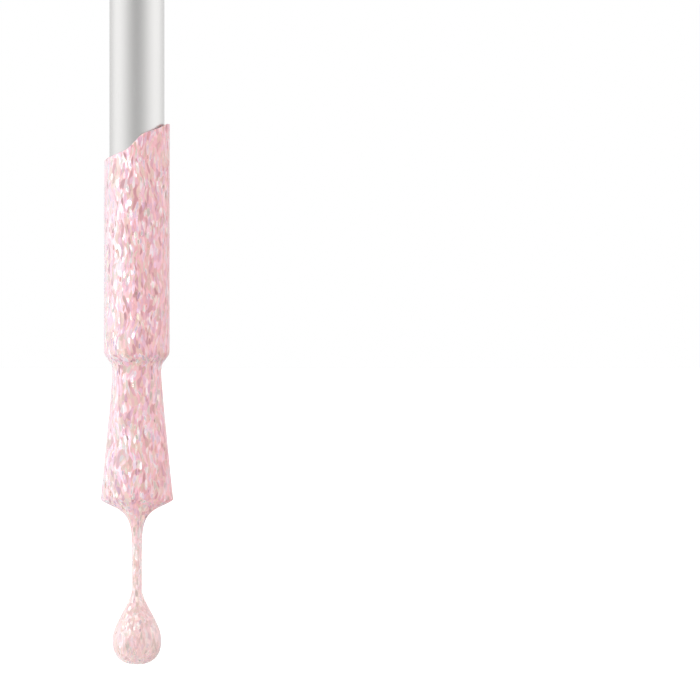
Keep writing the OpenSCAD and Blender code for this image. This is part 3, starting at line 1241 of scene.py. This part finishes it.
    def build(self) -> bpy.types.Object:
        """Makes the coat as one closed mesh.

        Returns:
            The coat.
        """
        rings = self.rings()
        bm = stack_rings(len(rings), self.sides)
        for vert in bm.verts:
            vert.co = rings[round(vert.co.z)](math.atan2(vert.co.y, vert.co.x))
        close_ends(bm)
        piece = finish_mesh(bm, "gel_coat")
        COAT_GEL.dress(piece)
        self.bend(piece)
        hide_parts("stem_gel_film", "brush_gel_film")
        return piece

    def bend(self, piece: bpy.types.Object) -> None:
        """Bakes a piece's placing into its mesh; the piece is not bent."""
        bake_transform(piece)


@dataclass
class GelDrop:
    """The thread of gel below the brush and the drop that hangs from it.

    Attributes:
        coat: The coat that the thread comes out of.
        swell_start: Depth at which the thread starts to swell.
        middle: Depth of the drop's widest place.
        radius: The drop's radius there.
        bowl_power: Fullness of the drop's underside; 2 is a half ball.
        hidden_top: Depth of the thread's top, inside the coat.
        tuck: How far the thread lies inside the coat where both are there.
        sides: Faces round the drop.
    """

    coat: GelCoat
    swell_start: float = 12.4
    middle: float = 15.27
    radius: float = 1.33
    bowl_power: float = 2.4
    hidden_top: float = 8.9
    tuck: float = 0.006
    sides: int = 96

    def half_size(self, depth: float) -> Point2:
        """Half width and half thickness of the thread or drop.

        Args:
            depth: Distance below the stem's end.

        Returns:
            Half sizes along X and Y.
        """
        if depth > self.middle:
            fall = ((depth - self.middle) / self.radius) ** self.bowl_power
            radius = self.radius * max(0.0, 1 - fall) ** (1 / self.bowl_power)
            return radius, radius
        share = max(0.0, depth - self.swell_start) / (self.middle - self.swell_start)
        swell = (self.radius - self.coat.thread_radius) * ease(share**0.95)
        half_x, half_y = self.coat.half_size(depth)
        return half_x - self.tuck + swell, half_y - self.tuck + swell

    def build(self) -> bpy.types.Object:
        """Makes the thread and drop as one closed mesh that hangs plumb.

        Returns:
            The thread and drop.
        """
        depths = steps(self.hidden_top, self.swell_start, 30)[:-1]
        depths += steps(self.swell_start, self.middle, 36)[:-1]
        turns = steps(0, math.pi / 2, 20)[:-1]
        depths += [self.middle + self.radius * math.sin(turn) for turn in turns]
        bm = stack_rings(len(depths), self.sides)
        for vert in bm.verts:
            depth = depths[round(vert.co.z)]
            half_x, half_y = self.half_size(depth)
            vert.co = (vert.co.x * half_x, vert.co.y * half_y, STEM_END - depth)
        close_ends(bm)
        piece = finish_mesh(bm, "gel_thread_and_drop")
        COAT_GEL.dress(piece)
        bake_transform(piece)
        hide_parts("gel_drop")
        return piece


@dataclass
class BristleTuft:
    """The brush's nylon filaments, fused at the root and fanned to a flat tip.

    Attributes:
        coat: The gel round the bristles, which gives their outline.
        count: How many filaments there are.
        root_depth: Depth of the filaments' roots; above the stem's end it is negative.
        radius: Radius of a filament at its root.
        taper: Its radius at the tip, as a share of that.
        clearance: Gap between the filaments and the coat's inside.
        tip_gap: How far above the gel's tip the longest filaments end.
        raggedness: How much shorter the shortest filaments are.
        sides: Faces round a filament.
        rings: Rings along a filament.
        pitch: Distance between filaments before they are put in their places.
    """

    coat: GelCoat
    count: int = 190
    root_depth: float = -0.08
    radius: float = 0.055
    taper: float = 0.45
    clearance: float = 0.03
    tip_gap: float = 0.42
    raggedness: float = 0.25
    sides: int = 6
    rings: int = 12
    pitch: float = 4.0

    def spot(self, index: int) -> Point2:
        """Even place of a filament in a unit disc, on a sunflower spiral.

        Args:
            index: The filament's number.

        Returns:
            Its place along X and Y.
        """
        turn = index * math.pi * (3 - math.sqrt(5))
        reach = math.sqrt((index + 0.5) / self.count)
        return reach * math.cos(turn), reach * math.sin(turn)

    def build(self) -> bpy.types.Object:
        """Makes all filaments as one mesh.

        Returns:
            The filaments.
        """
        bm = stack_rings(self.rings, self.sides, self.count, self.pitch)
        gap = self.coat.wall + self.radius + self.clearance
        longest = self.coat.brush_length - self.tip_gap
        for vert in bm.verts:
            index = round(vert.co.x / self.pitch)
            share = vert.co.z / (self.rings - 1)
            along_x, along_y = self.spot(index)
            tip = longest - self.raggedness * ((index * 7) % 5) / 4
            depth = mix(self.root_depth, tip, share)
            half_x, half_y = self.coat.half_size(max(depth, 0.6))
            thin = self.radius * mix(1.0, self.taper, share * share)
            vert.co = (
                along_x * (half_x - gap) + (vert.co.x - index * self.pitch) * thin,
                along_y * (half_y - gap) + vert.co.y * thin,
                STEM_END - depth,
            )
        close_ends(bm)
        piece = finish_mesh(bm, "bristles")
        NYLON.dress(piece)
        self.coat.bend(piece)
        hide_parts("bristle_tuft")
        return piece


@dataclass
class TurnedPiece:
    """A piece turned from one closed outline, which stands for a CAD node.

    Attributes:
        name: Name of the piece.
        node: The CAD node that it replaces.
        body: The body that it rides on.
        outline: Its wall's outline.
        finish: Its finish.
        sides: Faces round it.
    """

    name: str
    node: str
    body: Body
    outline: Outline
    finish: Finish
    sides: int = 128

    def build(self) -> bpy.types.Object:
        """Makes, dresses and mounts the piece.

        Returns:
            The piece.
        """
        piece = finish_mesh(turn_outline(self.outline, self.sides), self.name)
        even_normals(piece)
        self.finish.dress(piece)
        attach(piece, self.body.value)
        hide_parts(self.node)
        return piece


@dataclass
class Stem:
    """The drawn metal tube between the nose and the brush.

    Attributes:
        radius: Outside radius.
        bore: Inside radius.
        flange_radius: Radius of the flange that is held in the nose.
        flange_length: Height of the flange.
    """

    radius: float = 1.5
    bore: float = 1.2
    flange_radius: float = 2.2
    flange_length: float = 0.78

    def build(self) -> bpy.types.Object:
        """Makes the tube with its hidden flange.

        Returns:
            The tube.
        """
        bottom, top = low("stem_tube"), high("stem_tube")
        ledge = top - self.flange_length
        outline = Outline(
            (
                (self.bore, bottom, 0.05),
                (self.radius, bottom, 0.1),
                (self.radius, ledge, 0.04),
                (self.flange_radius, ledge, 0.1),
                (self.flange_radius, top, 0.1),
                (self.bore, top, 0.1),
            )
        )
        return TurnedPiece("stem", "stem_tube", Body.HOUSING, outline, STEM_METAL, 144).build()


@dataclass
class Nose:
    """The turned nose, its snap groove for a cap, and the trim band above it.

    Attributes:
        seat_radius: Radius of the seat for a cap.
        tip_radius: Radius of the cone's tip.
        cone_length: Height of the cone.
        groove_below_band: How far the snap groove's middle lies below the band.
        groove_depth: Depth of the snap groove.
        shoulder_radius: Radius under the band.
        spigot_radius: Radius of the spigot that goes into the barrel.
        socket_radius: Radius of the socket for the gland.
        stem_bore: Radius of the hole for the stem.
        band_radius: Outside radius of the band.
    """

    seat_radius: float = 4.75
    tip_radius: float = 2.2
    cone_length: float = 5.5
    groove_below_band: float = 1.4
    groove_depth: float = 0.2
    shoulder_radius: float = 4.6
    spigot_radius: float = 4.48
    socket_radius: float = 2.6
    stem_bore: float = 1.52
    band_radius: float = 5.4

    def cone(self, tip: float) -> list[Point3]:
        """Points up the cone, which bulges a little.

        Args:
            tip: Height of the cone's tip.

        Returns:
            The points as corners of an outline.
        """
        made: list[Point3] = []
        for u in steps(0.03, 1.0, 26):
            bulge = math.sin(u * math.pi / 2) ** 0.85
            radius = mix(self.tip_radius, self.seat_radius, bulge)
            made.append((radius, tip + self.cone_length * u, 0))
        return made

    def nose(self) -> bpy.types.Object:
        """Makes the nose.

        Returns:
            The nose.
        """
        tip, top = low("nose_cone"), high("nose_cone")
        band_low, band_high = low("trim_band"), high("trim_band")
        floor = low("stem_gland")
        groove = band_low - self.groove_below_band
        groove_radius = self.seat_radius - self.groove_depth
        outline = Outline(
            (
                (self.stem_bore, tip, 0.1),
                (self.tip_radius - 0.02, tip, 0.12),
                *self.cone(tip),
                (self.seat_radius, groove - 0.4, 0.08),
                (groove_radius, groove - 0.2, 0.08),
                (groove_radius, groove + 0.2, 0.08),
                (self.seat_radius, groove + 0.4, 0.08),
                (self.seat_radius, band_low, 0.05),
                (self.shoulder_radius, band_low, 0),
                (self.shoulder_radius, band_high, 0),
                (self.spigot_radius, band_high, 0),
                (self.spigot_radius, top, 0.3),
                (self.socket_radius, top, 0.2),
                (self.socket_radius, floor, 0),
                (self.stem_bore, floor, 0),
            )
        )
        return TurnedPiece("nose", "nose_cone", Body.HOUSING, outline, NOSE_METAL, 160).build()

    def band(self) -> bpy.types.Object:
        """Makes the trim band.

        Returns:
            The band.
        """
        bottom, top = low("trim_band"), high("trim_band")
        inner, outer = self.shoulder_radius + 0.02, self.band_radius
        outline = Outline(
            ((inner, bottom, 0.04), (outer, bottom, 0.3), (outer, top, 0.3), (inner, top, 0.04)),
            arc_steps=7,
        )
        return TurnedPiece("band", "trim_band", Body.HOUSING, outline, TURNED_METAL, 160).build()


@dataclass
class Barrel:
    """The lacquered barrel, with a pair of fine turned grooves near each end.

    Attributes:
        radius: Outside radius.
        bore: Inside radius.
        edge: Rounding of its two outside edges.
        groove_depth: Depth of a groove.
        groove_half: Half of a groove's width.
        groove_places: How far the grooves lie from the nearer end.
    """

    radius: float = 5.5
    bore: float = 4.5
    edge: float = 0.25
    groove_depth: float = 0.1
    groove_half: float = 0.14
    groove_places: Point2 = (2.2, 3.0)

    def groove(self, height: float) -> list[Point3]:
        """Corners of one V groove, from its lower lip up.

        Args:
            height: Height of the groove's middle.

        Returns:
            The corners, with their fillets.
        """
        return [
            (self.radius, height - self.groove_half, 0.05),
            (self.radius - self.groove_depth, height, 0.04),
            (self.radius, height + self.groove_half, 0.05),
        ]

    def build(self) -> bpy.types.Object:
        """Makes the barrel.

        Returns:
            The barrel.
        """
        bottom, top = low("barrel"), high("barrel")
        heights = [bottom + place for place in self.groove_places]
        heights += [top - place for place in reversed(self.groove_places)]
        outline = Outline(
            (
                (self.bore, bottom, 0.08),
                (self.radius, bottom, self.edge),
                *(corner for height in heights for corner in self.groove(height)),
                (self.radius, top, self.edge),
                (self.bore, top, 0.08),
            )
        )
        return TurnedPiece("barrel_shell", "barrel", Body.HOUSING, outline, LACQUER, 160).build()


@dataclass
class Knob:
    """The fluted twist knob and the glitter disc in its end.

    Attributes:
        radius: Outside radius.
        socket_radius: Radius of the socket for the drive hub.
        well_radius: Radius of the well for the screw's rear end.
        plug_radius: Radius of the disc.
        plug_length: Height of the disc.
        plug_gap: Gap round the disc in its recess.
        dome_height: Height of the disc's dome.
        flutes: How many flutes run round the grip.
        flute_radius: Radius of the cutter that makes a flute.
        flute_depth: Depth of a flute.
        flute_ends: How far the flutes start above the knob's bottom, and end
            below its top.
        flute_fade: Height over which a flute reaches its depth.
        sides: Faces round the knob.
    """

    radius: float = 5.4
    socket_radius: float = 3.04
    well_radius: float = 2.15
    plug_radius: float = 4.2
    plug_length: float = 1.7
    plug_gap: float = 0.03
    dome_height: float = 0.5
    flutes: int = 20
    flute_radius: float = 0.7
    flute_depth: float = 0.22
    flute_ends: Point2 = (1.6, 2.0)
    flute_fade: float = 0.7
    sides: int = 360

    def fluted(self, angle: float, height: float, first: float, last: float) -> float:
        """Radius of the grip at an angle and height.

        Args:
            angle: Angle round the knob.
            height: Height of the point.
            first: Height at which the flutes start.
            last: Height at which they end.

        Returns:
            The radius; it is the plain radius between and beyond the flutes.
        """
        pitch = math.tau / self.flutes
        aside = (angle + pitch / 2) % pitch - pitch / 2
        starts = ease((height - first) / self.flute_fade)
        ends = ease((last - height) / self.flute_fade)
        centre = self.radius + self.flute_radius - self.flute_depth * starts * ends
        reach = self.flute_radius**2 - (centre * math.sin(aside)) ** 2
        if reach <= 0:
            return self.radius
        return min(self.radius, centre * math.cos(aside) - math.sqrt(reach))

    def knob(self) -> bpy.types.Object:
        """Makes the knob.

        Returns:
            The knob.
        """
        bottom, top = low("twist_knob"), high("twist_knob")
        socket_top = high("drive_hub") + 0.1
        floor = top - self.plug_length - 0.1
        first, last = bottom + self.flute_ends[0], top - self.flute_ends[1]
        recess_radius = self.plug_radius + self.plug_gap
        side = [(self.radius, height, 0) for height in steps(first - 0.1, last + 0.1, 40)]
        outline = Outline(
            (
                (self.socket_radius, bottom, 0.1),
                (self.radius, bottom, 0.25),
                *side,
                (self.radius, top, 0.6),
                (recess_radius, top, 0.08),
                (recess_radius, floor, 0),
                (self.well_radius, floor, 0.1),
                (self.well_radius, socket_top, 0),
                (self.socket_radius, socket_top, 0),
            )
        )
        bm = turn_outline(outline, self.sides)
        for vert in bm.verts:
            here = Vector(vert.co.xy)
            on_side = abs(here.length - self.radius) < 1e-4
            if on_side and first < vert.co.z < last:
                angle = math.atan2(here.y, here.x)
                vert.co.xy = here.normalized() * self.fluted(angle, vert.co.z, first, last)
        piece = finish_mesh(bm, "knob_shell")
        even_normals(piece)
        KNOB_METAL.dress(piece)
        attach(piece, Body.KNOB.value)
        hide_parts("twist_knob")
        return piece

    def plug(self) -> bpy.types.Object:
        """Makes the domed disc that shows the gel's shade.

        Returns:
            The disc.
        """
        bottom, top = low("end_plug"), high("end_plug")
        radius, rim = self.plug_radius, top - self.dome_height
        dome = [
            (radius * math.cos(turn), rim + self.dome_height * math.sin(turn), 0)
            for turn in steps(0.02, math.pi / 2, 26)
        ]
        outline = Outline(((0, bottom, 0), (radius, bottom, 0.2), (radius, rim, 0.04), *dome))
        piece = finish_mesh(turn_outline(outline, 144, closed=False), "shade_disc")
        NAIL_GEL.dress(piece)
        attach(piece, Body.KNOB.value)
        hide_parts("end_plug")
        return piece


@dataclass
class Works:
    """The hidden pieces: the gel that is left, and CAD nodes that keep their shape.

    Attributes:
        gel_radius: Radius of the gel that is left.
        outlet_radius: Radius of its two narrow ends.
        funnel: Height of the cone at each end.
        travel: How far the piston comes down; not used.
    """

    gel_radius: float = 3.78
    outlet_radius: float = 1.0
    funnel: float = 1.0
    travel: float = 20.0

    def gel(self) -> bpy.types.Object:
        """Makes the gel that is left; it stays as it is when the piston comes down.

        Returns:
            The gel.
        """
        bottom, top = low("gel_charge"), high("gel_charge")
        face = top - self.funnel
        outline = Outline(
            (
                (0, bottom, 0),
                (self.outlet_radius, bottom, 0.1),
                (self.gel_radius, bottom + self.funnel, 0.2),
                (self.gel_radius, top, 0.1),
                (self.outlet_radius, face, 0.1),
                (0, face, 0),
            )
        )
        piece = finish_mesh(turn_outline(outline, 96, closed=False), "gel_left_to_use")
        even_normals(piece)
        NAIL_GEL.dress(piece)
        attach(piece, Body.HOUSING.value)
        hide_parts("gel_charge")
        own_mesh(piece)
        return piece

    def dress_nodes(self) -> None:
        """Puts finishes on the CAD nodes that are shown as they are."""
        finishes: dict[Finish, tuple[str, ...]] = {
            WHITE_ACETAL: (
                "stem_gland",
                "feed_tube",
                "tuft_anchor",
                "drive_nut",
                "rear_bushing",
                "lead_screw",
                "piston",
            ),
            GREY_ACETAL: ("ratchet_ring", "drive_hub"),
            CLEAR_LINER: ("reservoir",),
            SEAL_RUBBER: ("outlet_seal", "hub_seal", "piston_front_seal", "piston_rear_seal"),
            SPRING_STEEL: ("thrust_washer",),
        }
        for finish, names in finishes.items():
            for name in names:
                finish.dress(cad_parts[name])
                report(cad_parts[name])


# ------------------------------------------------------------------ studio


@dataclass
class Studio:
    """A white studio: a pale floor, soft lights and a long-lens camera.

    Attributes:
        view_width: Width of the view at the pen, in millimetres.
        view_aside: How far the view's middle stands to +X of the pen.
        view_above: How far it stands above the stem's end.
        lens: Focal length in millimetres.
        sensor: Width of the camera's sensor.
        floor_gap: How far the floor lies below the drop.
        fade_from: Distance from the pen at which the floor starts to turn white.
        fade_to: Distance at which it is white.
        room_light: Brightness of the walls where they are brightest.
        wall_stops: Brightness of the walls from in front of the pen to behind it,
            as (place, grey).
        card_line: Level direction square to the line of two dark cards that lie by
            the pen. Only reflections see them.
        card_edges: Where the cards start and stop to fade, as the cosine of the
            angle to that direction.
        card_ends: Distances from the pen between which the cards fade out.
        key_place: Middle of the key light, from the stem's end.
        key_size: Width and height of the key light.
        key_power: Power of the key light, in watts.
    """

    view_width: float = 38.18
    view_aside: float = 11.62
    view_above: float = 0.545
    lens: float = 200.0
    sensor: float = 36.0
    floor_gap: float = 14.0
    fade_from: float = 30.0
    fade_to: float = 125.0
    room_light: float = 1.4
    wall_stops: tuple[Point2, ...] = (
        (0.0, 0.364),
        (0.05, 0.528),
        (0.14, 0.74),
        (0.26, 0.91),
        (0.40, 1.0),
        (0.6, 0.98),
        (0.85, 0.70),
        (1.0, 0.63),
    )
    card_line: Point3 = (0.707, -0.707, 0.0)
    card_edges: Point2 = (0.2, 0.8)
    card_ends: Point2 = (100.0, 230.0)
    key_place: Point3 = (-230.0, -60.0, 60.0)
    key_size: Point2 = (80.0, 200.0)
    key_power: float = 0.19

    def distance(self) -> float:
        """How far the camera stands from the pen, in millimetres."""
        return self.view_width * self.lens / self.sensor

    def camera(self) -> None:
        """Sets up the camera, level and square on to the pen."""
        data = bpy.data.cameras.new("camera")
        data.lens = self.lens
        data.sensor_width = self.sensor
        data.clip_start = 0.01
        data.clip_end = 50.0
        made = bpy.data.objects.new("camera", data)
        made.location = Vector((self.view_aside, -self.distance(), STEM_END + self.view_above)) * MM
        made.rotation_euler = (math.pi / 2, 0, 0)
        bpy.context.scene.collection.objects.link(made)
        bpy.context.scene.camera = made

    def floor(self) -> None:
        """Lays a large pale floor below the drop."""
        bm = bmesh.new()
        bmesh.ops.create_grid(bm, x_segments=1, y_segments=1, size=6000)
        depth = CAD_BOUNDS[0].z / MM - self.floor_gap
        bmesh.ops.translate(bm, vec=(0, 0, depth), verts=bm.verts[:])
        piece = finish_mesh(bm, "floor")
        made = bpy.data.materials.new("pale_floor")
        made.use_nodes = True
        wires = Wiring(made.node_tree)
        place = wires.object_coords()
        away = wires.off_axis(place)
        path = wires.node("LightPath").outputs
        outward = wires.vector_maths("NORMALIZE", wires.stretched(place, LEVEL))
        aside = wires.maths("ABSOLUTE", wires.vector_maths("DOT_PRODUCT", outward, self.card_line))
        card = wires.mapped(aside, *self.card_edges, 1.0, 0.0)
        near = wires.mapped(away, *(end * MM for end in self.card_ends), 1.0, 0.0)
        dark = wires.maths("MULTIPLY", wires.maths("MULTIPLY", card, near), path["Is Glossy Ray"])
        fade = wires.mapped(away, self.fade_from * MM, self.fade_to * MM, 0.0, 1.0)
        pale, card_grey, near_glow, far_glow = grey(0.85), grey(0.2), grey(0.15), grey(1.0)
        glow = wires.mixed(fade, near_glow, far_glow)
        inputs = {
            "Base Color": wires.mixed(dark, pale, card_grey),
            "Roughness": 0.9,
            "Specular IOR Level": 0.1,
            "Emission Color": wires.mixed(path["Is Camera Ray"], grey(0.1), glow),
            "Emission Strength": 0.4,
        }
        wires.feed(made.node_tree.nodes["Principled BSDF"], inputs)
        piece.data.materials.append(made)

    def soft_box(
        self, name: str, place: Point3, size: Point2, power: float
    ) -> bpy.types.Object:
        """Adds one soft box that faces the brush.

        Args:
            name: Name of the light.
            place: Its middle, in millimetres from the stem's end.
            size: Its width and height in millimetres.
            power: Its power in watts.

        Returns:
            The light.
        """
        data = bpy.data.lights.new(name, "AREA")
        data.shape = "RECTANGLE"
        data.size, data.size_y = size[0] * MM, size[1] * MM
        data.energy = power
        made = bpy.data.objects.new(name, data)
        made.location = (Vector(place) + Vector((0, 0, STEM_END))) * MM
        made.rotation_euler = Vector(place).to_track_quat("Z", "Y").to_euler()
        made.visible_camera = False
        bpy.context.scene.collection.objects.link(made)
        return made

    def spare(self, light: bpy.types.Object, *names: str) -> None:
        """Keeps a light off some pieces, which then mirror only the white walls.

        Args:
            light: The light.
            names: Names of the pieces.
        """
        spared = bpy.data.collections.new(f"{light.name}_spares")
        for name in names:
            spared.objects.link(bpy.data.objects[name])
        for entry in spared.collection_objects:
            entry.light_linking.link_state = "EXCLUDE"
        light.light_linking.receiver_collection = spared

    def world(self) -> None:
        """White all round to the eye; a little darker in front for reflections."""
        world = bpy.data.worlds.new("studio")
        world.use_nodes = True
        wires = Wiring(world.node_tree)
        ahead = Vector((-self.view_aside, self.distance(), 0)).normalized()
        outward = wires.node("TexCoord").outputs["Generated"]
        along = wires.vector_maths("DOT_PRODUCT", outward, ahead)
        behind = wires.mapped(along, -1.0, 1.0, 0.0, 1.0)
        walls = wires.ramp(behind, tuple((stop, grey(value)) for stop, value in self.wall_stops))
        dim_from, dim_to, dim_share, ceiling = 0.3, 0.85, 0.25, grey(0.24)
        height = wires.split_place(outward)["Z"]
        overhead = wires.mapped(height, dim_from, dim_to, 0.0, dim_share)
        room = wires.mixed(overhead, walls, ceiling)
        seen = wires.node("LightPath").outputs["Is Camera Ray"]
        inputs = {
            "Color": wires.mixed(seen, room, grey(1.0 / self.room_light)),
            "Strength": self.room_light,
        }
        wires.feed(world.node_tree.nodes["Background"], inputs)
        bpy.context.scene.world = world

    def build(self) -> None:
        """Makes the camera, floor, lights and world."""
        self.camera()
        self.floor()
        self.world()
        key = self.soft_box("key", self.key_place, self.key_size, self.key_power)
        self.spare(key, "stem")
        bpy.context.scene.view_settings.view_transform = "Standard"


# ------------------------------------------------------------------ build


def main() -> None:
    """Builds the studio and the pen, piece by piece."""
    logging.basicConfig(level=logging.INFO, format="%(name)s: %(message)s")
    coat = GelCoat()
    nose, knob, works = Nose(), Knob(), Works()
    makers = (
        coat.build,
        GelDrop(coat).build,
        BristleTuft(coat).build,
        Stem().build,
        nose.nose,
        nose.band,
        Barrel().build,
        knob.knob,
        knob.plug,
        works.gel,
    )
    for make in makers:
        report(make())
    works.dress_nodes()
    Studio().build()


if __name__ == "__main__":
    main()
